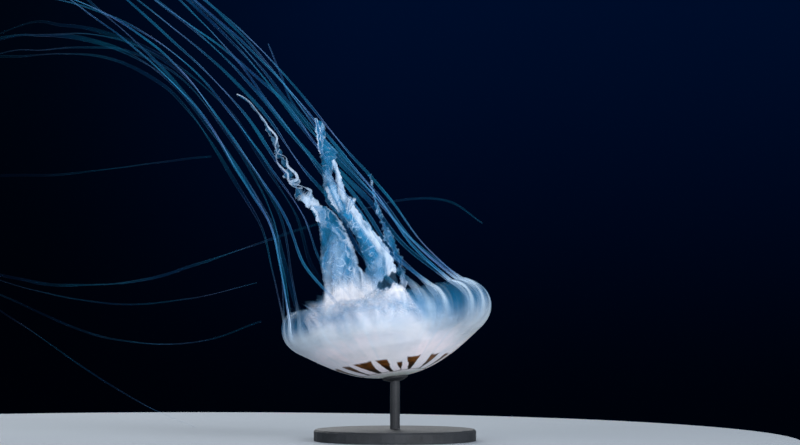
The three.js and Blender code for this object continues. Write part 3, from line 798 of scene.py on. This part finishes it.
def stream_point(index, station):
    here = STREAM[station]
    azimuth = azimuth_of(index)
    gathered = min(1, (station + 1) / 3)
    out = blend(1, LANES[index % len(LANES)], gathered)

    def sway(kind):
        return WOBBLE * gathered * (scatter(index, station + kind) - 0.5)

    return [
        here["middle"][0] + here["edge"][0] * math.cos(azimuth) * out + sway(0),
        here["depth"] * math.sin(azimuth) * out + sway(10),
        here["middle"][1] + here["edge"][1] * math.cos(azimuth) * out + sway(20),
    ]


def drift(points, index, aim, bend, count):
    """Goes on from the end of a route in even steps, turning a little at each towards its aim."""
    at, before = np.array(points[-1], float), points[-2]
    aside = (scatter(index, 45) - 0.5) * 7 + math.sin(azimuth_of(index)) * 3
    heading = math.atan2(at[2] - before[2], at[0] - before[0])
    most = math.radians(bend)
    for i in range(count):
        heading += max(-most, min(most, math.radians(aim) - heading))
        ahead, up = FREE_STEP * math.cos(heading), FREE_STEP * math.sin(heading)
        at = at + [ahead, aside * float(smooth(0, 3, i)), up]
        points.append(list(at))


def tentacle_route(index):
    azimuth = azimuth_of(index)
    root_at = LAPPET_LENGTH - 1.6
    points = [list(past_rim(azimuth, root_at + more, RIM_WALL / 2)) for more in (0, 7)]
    if index in SHORT:
        return points + [stream_point(index, 0)]
    points += [stream_point(index, station) for station in range(3 if index == STEEP else len(STREAM))]
    if index == STEEP:
        return points + STEEP_END
    if index in TRAILING:
        bend, way_back = TRAILING[index]
        drift(points, index, 184, bend, 5)
        return points + way_back
    if index in LEFTWARD:
        drift(points, index, 178, 8, 8)
    else:
        drift(points, index, 134 + 11 * scatter(index, 32), 4, 4 + int(scatter(index, 32) * 3.99))
    return points


def tentacle_nodes(index):
    if index in TRAILING:
        ends = ["root", "middle", "tip"]
    elif index in SHORT or index == STEEP:
        ends = ["whole"]
    else:
        ends = ["root", "tip"]
    return [f"tentacle_{index + 1:02d}_{end}" for end in ends]


SHORT_OF_RIM = 0.21  # share of the wall above the place where the tentacles of the -X side leave it
ROOT_START = 0.80  # where on the wall the root's flare begins
ROOT_HALF = 2.6  # half width of the flare at the rim
FLARE = 26  # how far past the rim the flare goes on
RING_STEP = 1.6
FAINT = {index: 0.13 for index in TRAILING} | {9: 0.25} | {index: 0.3 for index in SHORT}


def tentacle_line(index):
    """The middle of a tentacle from inside the wall to its tip, and how much of it lies in the wall."""
    azimuth = azimuth_of(index)
    outside = float(smooth(-0.35, -0.85, math.cos(azimuth)))
    leaves = 1 - SHORT_OF_RIM * outside
    s = np.linspace(leaves - (1 - ROOT_START), leaves, 20)
    radius, height = wall_point(s, wall_thickness(s) * blend(0.4, 0.1, outside))
    in_wall = around_bell(azimuth, radius, height)
    route = np.array(tentacle_route(index), float)
    way = unit(in_wall[-1] - in_wall[-2])
    for point, ahead in ((0, 1.5), (1, 9)):
        route[point] = blend(route[point], in_wall[-1] + way * ahead, outside)
    return Line(np.vstack([in_wall, through(route)])), Line(in_wall).length


def tentacle_place(index, line, rim_at):
    azimuth = azimuth_of(index)
    rim_way = around_bell(azimuth + 0.01, 60, RIM_HEIGHT) - around_bell(azimuth - 0.01, 60, RIM_HEIGHT)
    rings = np.arange(0, line.length, RING_STEP)
    sides = carried_sides(line.tangent(rings), unit(rim_way))
    strength = FAINT.get(index, 0.55 + 0.45 * scatter(index, 7))
    broad = scatter(index, 51) ** 1.3

    def place(along, across):
        distance = along * line.length
        centre = line.point(distance)
        tangent = line.tangent(distance)
        side = np.stack([np.interp(distance, rings, sides[:, k]) for k in range(3)], axis=-1)
        side = unit(side - tangent * np.sum(side * tangent, axis=1, keepdims=True))
        past = distance - rim_at
        free = np.clip(past / (line.length - rim_at), 0, 1)
        twist = smooth(30, 200, past) * past / (190 + 160 * scatter(index, 3)) * TURN
        side = turned(side, tangent, twist)
        front = np.cross(tangent, side)
        radius = blend(0.8 + 2.1 * broad, 0.4 + 0.5 * broad, free ** 0.7)
        flare = smooth(FLARE, -4, past)
        narrow = np.where(past < 0, 0.5 + 0.5 * smooth(-rim_at, -rim_at * 0.15, past), 1)
        half = blend(radius, ROOT_HALF, flare ** 1.5) * narrow * (1 + 0.06 * rough_wave(distance, 31, index))
        thick = (0.5 + 0.3 * broad) * blend(1.0, 0.6, free) * blend(1.0, 1.3, flare)
        angle = across * TURN
        sway = 0.25 * rough_wave(distance, 47, index * 1.7) * smooth(15, 60, past)
        points = centre + side * (half * np.cos(angle) + sway)[:, None]
        points = points + front * (thick * np.sin(angle))[:, None]
        veil = smooth(-0.95, 0.3, past / rim_at) * (1 - 0.8 * flare * before_stomach(azimuth))
        away = 1 - 0.75 * smooth(-180, -300, points[:, 0])
        return points, {
            "free": free,
            "milk": flare,
            "veil": veil * strength * away,
            # painted highlight: 1 along the two edges of the flattened tentacle, which the material draws as
            # light lines
            "edge_highlight": np.abs(np.cos(angle)),
            "broad": np.full_like(along, broad),
            "hue": 0.5 + 0.5 * rough_wave(distance, 90, index * 2.3),
        }
    return place


# ---------------------------------------------------------------------------
# Materials

MILK = srgb(0.94, 0.94, 0.97)
CREAM = srgb(0.95, 0.91, 0.94)
BLUSH = srgb(0.97, 0.94, 0.94)
FRILL_WHITE = srgb(0.74, 0.80, 0.87)
THIN_BLUE = srgb(0.37, 0.58, 0.75)
COOL_MILK = srgb(0.78, 0.83, 0.88)
# grey of the crown: partly the jelly's own tone, partly painted shade of the bell's lowest part
CROWN_GREY_AND_SHADE = srgb(0.78, 0.80, 0.78)
VEIL_BLUE = srgb(0.10, 0.46, 0.66)
WEB_BLUE = srgb(0.09, 0.49, 0.69)
DEEP_BLUE = srgb(0.02, 0.27, 0.48)
TEAL = srgb(0.04, 0.42, 0.56)
# colour of the painted highlight along the tentacles' edges
HIGHLIGHT_BLUE = srgb(0.20, 0.62, 0.84)
SHADE_MILK = srgb(0.66, 0.76, 0.86)
# colour of the painted highlight along the tentacles' edges
HIGHLIGHT_LAVENDER = srgb(0.50, 0.58, 0.78)
PALE_BLUE = srgb(0.80, 0.88, 0.95)
BROWN = srgb(0.40, 0.24, 0.09)
DARK_BROWN = srgb(0.04, 0.02, 0.0)


def wedges(m, wall):
    """The brown wedges round the crown and the thin ring that joins them, with their colour."""
    wobble = m.math("SUBTRACT", m.noise(170, detail=3), 0.5)
    margin = m.math("ADD", m.attribute("wedge"), m.math("MULTIPLY", wobble, 2.0))
    ends = m.math("ADD", wall, m.math("MULTIPLY", wobble, 0.034))
    ring = m.ramp(m.math("ABSOLUTE", m.math("SUBTRACT", ends, WEDGE_INNER)), 0.001, 0.006, 1.0, 0.0)
    brown = m.math("MAXIMUM", m.ramp(margin, -0.6, 0.5), m.math("MULTIPLY", ring, 0.8))
    mottle = m.ramp(m.noise(260, detail=3, roughness=0.6), 0.36, 0.64)
    light = m.ramp(wall, WEDGE_INNER + 0.03, WEDGE_OUTER - 0.02, 0.05, 1.0)
    pigment = m.mix(m.math("MULTIPLY", m.ramp(mottle, 0.0, 1.0, 0.35, 1.0), light), DARK_BROWN, BROWN)
    return brown, pigment


def bell_material():
    m = Paint("bell jelly")
    wall = m.attribute("wall")
    inside = m.attribute("inside")
    tongue = m.attribute("tongue")
    streaks = m.attribute("rays")
    cloud = m.noise(26, detail=4, roughness=0.55, distortion=0.6)
    broad = m.noise(10, detail=2)
    # the jelly: grey at the crown, partly its own tone and partly painted shade of the bell's lowest,
    # downward-facing part; dense milk round it, thin blue towards the rim
    shifted = m.math("ADD", wall, m.math("MULTIPLY", m.math("SUBTRACT", broad, 0.5), 0.35))
    shifted = m.math("ADD", shifted, m.math("MULTIPLY", m.math("SUBTRACT", cloud, 0.5), 0.35))
    shifted = m.math("ADD", shifted, m.math("MULTIPLY", streaks, 0.03))
    dense = m.attribute("dense")
    milk = m.mix(m.ramp(cloud, 0.36, 0.62), CREAM, MILK)
    milk = m.mix(m.ramp(m.noise(19, detail=4, distortion=0.8), 0.48, 0.68, 0.0, 0.55), milk, SHADE_MILK)
    milk = m.mix(m.ramp(shifted, 0.30, 0.55), milk, COOL_MILK)
    # painted shade in part: the crown, lowest on the bell and facing down, is greyer than the milk round it
    milk = m.mix(m.ramp(wall, 0.08, 0.17), CROWN_GREY_AND_SHADE, milk)
    clearer = m.math("SUBTRACT", shifted, m.math("MULTIPLY", dense, 0.15))
    jelly = m.mix(m.ramp(clearer, 0.42, 0.80), milk, VEIL_BLUE)
    jelly = m.mix(m.ramp(streaks, 0.2, 0.9, 0.0, 0.35), jelly, PALE_BLUE)
    jelly = m.mix(m.math("MULTIPLY", tongue, 0.9), jelly, PALE_BLUE)
    brown, pigment = wedges(m, wall)
    brown = m.math("MULTIPLY", brown, m.math("SUBTRACT", 1.0, inside))
    # how much of the light each layer stops
    veil = m.math("ADD", m.ramp(shifted, 0.08, 0.48, 0.50, 0.0), m.ramp(shifted, 0.30, 1.0, 0.46, 0.13))
    veil = m.math("ADD", veil, m.math("MULTIPLY", streaks, 0.05))
    veil = m.math("ADD", veil, m.math("MULTIPLY", dense, 0.18))
    veil = m.math("MULTIPLY", veil, m.ramp(wall, 0.95, 1.4, 1.0, 0.35))
    veil = m.math("ADD", veil, m.math("MULTIPLY", tongue, 0.34))
    veil = m.math("MULTIPLY", veil, m.ramp(inside, 0.0, 1.0, 1.0, 0.5, soft=False))
    # a grain too fine to see keeps a line from showing where dense jelly runs into thin
    grain = m.node("ShaderNodeTexWhiteNoise", noise_dimensions="3D")
    m.join(m.place(), grain.inputs["Vector"])
    veil = m.math("ADD", veil, m.math("MULTIPLY", m.math("SUBTRACT", grain.outputs["Value"], 0.5), 0.24))
    veil = m.math("MAXIMUM", veil, brown, clamp=True)
    m.set(Base_Color=m.mix(brown, jelly, pigment), Alpha=veil, Roughness=0.42, IOR=1.33,
          Specular_IOR_Level=0.3)
    m.bump(m.noise(90, detail=4, roughness=0.6), 0.25, 0.0008)
    return m.material


def stomach_material():
    m = Paint("stomach milk")
    rise = m.attribute("rise")
    cloud = m.noise(34, detail=5, roughness=0.6, distortion=0.8)
    blush = m.noise(17, detail=2)
    colour = m.mix(m.ramp(cloud, 0.3, 0.7), srgb(0.74, 0.75, 0.79), srgb(0.88, 0.85, 0.85))
    low = m.ramp(rise, 0.1, 0.9, 0.8, 0.2)
    colour = m.mix(m.math("MULTIPLY", m.ramp(blush, 0.40, 0.62), low), colour, BLUSH)
    thin = m.math("ADD", m.attribute("thin"), m.math("MULTIPLY", m.math("SUBTRACT", cloud, 0.5), 0.5))
    colour = m.mix(m.math("MULTIPLY", m.ramp(thin, 0.1, 0.9), 0.7), colour, VEIL_BLUE)
    alpha = m.math("MULTIPLY", m.ramp(rise, 0.0, 1.0, 0.97, 0.88), m.ramp(thin, 0.1, 0.9, 1.0, 0.10))
    m.set(Base_Color=colour, Alpha=alpha, Roughness=0.6, IOR=1.33, Specular_IOR_Level=0.3)
    m.bump(m.noise(70, detail=3, roughness=0.5, distortion=0.5), 0.3, 0.0010)
    return m.material


def arm_material():
    m = Paint("arm frill")
    frill = m.attribute("frill")
    base = m.attribute("base")
    pleat = m.attribute("pleat")
    drawn = m.node("ShaderNodeMapping")
    m.join(m.place(), drawn.inputs["Vector"])
    drawn.inputs["Rotation"].default_value = (0, math.radians(22), 0)
    drawn.inputs["Scale"].default_value = (1, 1, 0.45)
    fine = m.noise(190, detail=4, roughness=0.6, distortion=0.5, vector=drawn.outputs["Vector"])
    cloud = m.noise(60, detail=4, distortion=0.9, vector=drawn.outputs["Vector"])
    speckle = m.math("SUBTRACT", fine, 0.5)
    band = m.math("MULTIPLY", speckle, m.ramp(base, 0.0, 1.0, 2.4, 0.9))
    band = m.math("MULTIPLY", frill, m.math("ADD", 0.9, band), clamp=True)
    milky = m.math("MULTIPLY", base, m.ramp(cloud, 0.32, 0.56))
    white = m.math("MAXIMUM", band, m.math("MULTIPLY", milky, 0.8))
    wisp = m.ramp(cloud, 0.48, 0.70, 0.0, 0.45)
    curl = m.math("ABSOLUTE", m.math("SUBTRACT", m.noise(42, detail=1, distortion=2.4), 0.5))
    curl = m.math("MULTIPLY", m.ramp(curl, 0.0, 0.022, 0.75, 0.0), m.ramp(fine, 0.35, 0.6))
    wisp = m.math("MAXIMUM", wisp, curl)
    white = m.math("MAXIMUM", white, wisp)
    pleated = m.math("MULTIPLY", white, m.ramp(pleat, 0.0, 1.0, 0.72, 1.0, soft=False))
    shown = m.attribute("shown")
    whitest = m.mix(m.math("MULTIPLY", base, m.ramp(shown, 0.1, 0.5)), FRILL_WHITE, BLUSH)
    whitest = m.mix(m.ramp(shown, 0.0, 0.25), THIN_BLUE, whitest)
    colour = m.mix(pleated, WEB_BLUE, whitest)
    alpha = m.math("ADD", m.ramp(white, 0.0, 1.0, 0.22, 0.66), m.math("MULTIPLY", speckle, 0.4))
    alpha = m.math("ADD", alpha, m.math("MULTIPLY", milky, 0.14), clamp=True)
    alpha = m.math("MULTIPLY", alpha, shown)
    m.set(Base_Color=colour, Alpha=alpha, Roughness=0.5, IOR=1.33, Specular_IOR_Level=0.35)
    m.bump(fine, 0.2, 0.0005)
    return m.material


def tentacle_material():
    m = Paint("tentacle jelly")
    free = m.attribute("free")
    milk = m.attribute("milk")
    veil = m.attribute("veil")
    edge_highlight = m.attribute("edge_highlight")
    slow = m.noise(45, detail=2)
    broad = m.attribute("broad")
    hue = m.attribute("hue")
    # painted highlight: lighter, denser lines along the two edges of each tentacle, in lavender to blue
    light = m.ramp(edge_highlight, m.ramp(broad, 0.0, 1.0, 0.80, 0.95), 1.0)
    body = m.mix(hue, DEEP_BLUE, TEAL)
    colour = m.mix(m.math("MULTIPLY", light, 0.8), body, m.mix(hue, HIGHLIGHT_LAVENDER, HIGHLIGHT_BLUE))
    colour = m.mix(m.math("POWER", milk, 1.5), colour, PALE_BLUE)
    alpha = m.math("ADD", m.ramp(broad, 0.0, 1.0, 0.30, 0.17), m.math("MULTIPLY", light, 0.32))
    alpha = m.math("MULTIPLY", alpha, m.ramp(free, 0.2, 1.0, 1.0, 0.7))
    alpha = m.math("MULTIPLY", alpha, m.ramp(slow, 0.3, 0.7, 0.7, 1.2))
    alpha = m.math("MULTIPLY", m.math("ADD", alpha, m.math("MULTIPLY", milk, 0.4)), veil, clamp=True)
    m.set(Base_Color=colour, Alpha=alpha, Roughness=0.55, IOR=1.33, Specular_IOR_Level=0.2)
    return m.material


def stand_material():
    m = Paint("stand paint")
    speck = m.noise(900, detail=2)
    wear = m.noise(60, detail=4)
    colour = m.mix(m.ramp(wear, 0.4, 0.7), srgb(0.10, 0.11, 0.13), srgb(0.14, 0.15, 0.17))
    m.set(Base_Color=colour, Roughness=m.ramp(speck, 0.3, 0.7, 0.60, 0.74), Specular_IOR_Level=0.35)
    m.bump(speck, 0.15, 0.0002)
    return m.material


def floor_material():
    m = Paint("studio floor")
    colour = m.mix(m.noise(3, detail=2), srgb(0.56, 0.59, 0.63), srgb(0.60, 0.63, 0.66))
    m.set(Base_Color=colour, Roughness=0.85)
    return m.material


# ---------------------------------------------------------------------------
# Building the pieces

# Rows and columns
BELL_GRID = (180, LAPPETS * 14)
STOMACH_GRID = (90, 220)
COLLAR_GRID = (14, 300)
TENTACLE_SIDES = 16


def make_bell():
    piece = shaped_grid("bell_skin", *BELL_GRID, bell_place, tube=True)
    finish_piece(piece, bell_material(), "bell_jelly", "bell", "bell_margin")


def make_stomach():
    piece = shaped_grid("stomach_mass", *STOMACH_GRID, stomach_place, tube=True)
    finish_piece(piece, stomach_material(), "stomach_milk", "stomach")


def joined(first, *others):
    only(first)
    for other in others:
        other.select_set(True)
    bpy.ops.object.join()
    return first


def make_sheets(name, sheets, first_seed, seed_step):
    made = []
    for i, sheet in enumerate(sheets):
        low, high = edges_of(sheet)
        widest = np.linalg.norm(high.points - low.points, axis=1).max()
        rows = int((low.length + high.length) / 2 / SHEET_STEP)
        columns = int(np.clip(widest * COLUMNS_PER_MM, *SHEET_COLUMNS))
        place = sheet_place(sheet, (low, high), first_seed + seed_step * i)
        made.append(shaped_grid(name, rows, columns, place))
    return made


def thickened(piece):
    """Gives sheets their thickness, thinner along the edges."""
    with_modifier(piece, "SOLIDIFY", thickness=ARM_SHEET * MM, offset=0.0, vertex_group="thick",
                  thickness_vertex_group=0.25)
    piece.vertex_groups.clear()


def make_arms():
    material = arm_material()
    for name, arm in ARMS.items():
        piece = joined(*make_sheets(f"{name}_sheet", arm["sheets"], arm["seed"], 1.7))
        piece.name = f"{name}_frills"
        thickened(piece)
        finish_piece(piece, material, "arm_frill", *[f"{name}_{end}" for end in arm["nodes"]])
    collars = [shaped_grid("collar", *COLLAR_GRID, collar_place(*ring), tube=True) for ring in FRILL_COLLARS]
    piece = joined(*collars, *make_sheets("flap", MOUTH_FLAPS, 7.7, 1.3))
    piece.name = "mouth_frills"
    thickened(piece)
    finish_piece(piece, material, "arm_frill")


def make_tentacles():
    material = tentacle_material()
    for index in range(TENTACLES):
        line, rim_at = tentacle_line(index)
        rings = int(line.length / RING_STEP)
        place = tentacle_place(index, line, rim_at)
        piece = shaped_grid(f"tentacle_{index + 1:02d}", rings, TENTACLE_SIDES, place, tube=True, caps=True)
        finish_piece(piece, material, "tentacle_jelly", *tentacle_nodes(index))


def make_stand():
    material = stand_material()
    for name in ("stand_base", "stand_rod"):
        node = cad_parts[name]
        node.data.materials.clear()
        node.data.materials.append(material)


# ---------------------------------------------------------------------------
# Studio

CAMERA_DISTANCE = 3.0
CAMERA_SIDE = 0.0036
CAMERA_HEIGHT = 0.1556
FIELD_WIDTH = 0.5712  # what the view takes in at the bell
SENSOR = 36.0
FAR_CLIP = 30
FLOOR_RADIUS = 0.45
FLOOR_CENTRE = (-0.16, 0, -0.0002)
LIGHT_AIM = (-0.05, 0, 0.12)
LIGHT_COLOUR = (0.96, 0.98, 1.0)
SOFTBOXES = [  # name, place, diameter, watts
    ("key_softbox", (1.2, -1.3, 0.8), 1.0, 28),
    ("fill_softbox", (-1.4, -1.3, 0.6), 1.2, 15),
    ("low_softbox", (0.40, -1.4, 0.02), 0.7, 20),
    ("back_softbox", (-0.4, 1.5, 0.9), 1.2, 16),
    ("top_softbox", (-0.1, 0.1, 1.7), 1.0, 5),
]
AMBIENT = (0.21, 0.25, 0.29)


def make_camera():
    data = bpy.data.cameras.new("camera")
    data.sensor_width = SENSOR
    data.lens = SENSOR * CAMERA_DISTANCE / FIELD_WIDTH
    data.clip_end = FAR_CLIP
    camera = bpy.data.objects.new("camera", data)
    camera.location = (CAMERA_SIDE, -CAMERA_DISTANCE, CAMERA_HEIGHT)
    camera.rotation_euler = (math.radians(90), 0, 0)
    bpy.context.scene.collection.objects.link(camera)
    bpy.context.scene.camera = camera


def make_floor():
    bpy.ops.object.select_all(action="DESELECT")
    bpy.ops.mesh.primitive_circle_add(
        vertices=96, radius=FLOOR_RADIUS, fill_type="NGON", location=FLOOR_CENTRE)
    floor = bpy.context.object
    floor.name = "studio_floor"
    bpy.ops.object.transform_apply(location=True)
    floor.data.materials.append(floor_material())


def make_light(name, place, size, watts):
    data = bpy.data.lights.new(name, "AREA")
    data.shape = "DISK"
    data.size = size
    data.energy = watts
    data.color = LIGHT_COLOUR
    light = bpy.data.objects.new(name, data)
    light.location = place
    light.rotation_euler = (Vector(LIGHT_AIM) - Vector(place)).to_track_quat("-Z", "Y").to_euler()
    bpy.context.scene.collection.objects.link(light)


def make_world():
    """Dark blue behind the model, lighter upwards; soft grey for the light that the model gathers."""
    world = bpy.data.worlds.new("studio")
    bpy.context.scene.world = world
    world.use_nodes = True
    m = Nodes(world.node_tree)
    way = m.node("ShaderNodeSeparateXYZ")
    m.join(m.node("ShaderNodeTexCoord").outputs["Generated"], way.inputs[0])
    height = m.ramp(way.outputs["Z"], -0.05, 0.08)
    right = m.mix(height, srgb(0.0, 0.008, 0.035), srgb(0.0, 0.055, 0.17))
    left = m.mix(height, srgb(0.0, 0.004, 0.02), srgb(0.0, 0.018, 0.06))
    deep = m.mix(m.ramp(way.outputs["X"], -0.10, 0.0), left, right)
    seen = m.node("ShaderNodeLightPath").outputs["Is Camera Ray"]
    m.join(m.mix(seen, AMBIENT, deep), world.node_tree.nodes["Background"].inputs["Color"])


make_camera()
make_floor()
for softbox in SOFTBOXES:
    make_light(*softbox)
make_world()
make_stand()
make_bell()
make_stomach()
make_arms()
make_tentacles()

scene = bpy.context.scene
scene.view_settings.view_transform = "Standard"
scene.cycles.transparent_max_bounces = 48
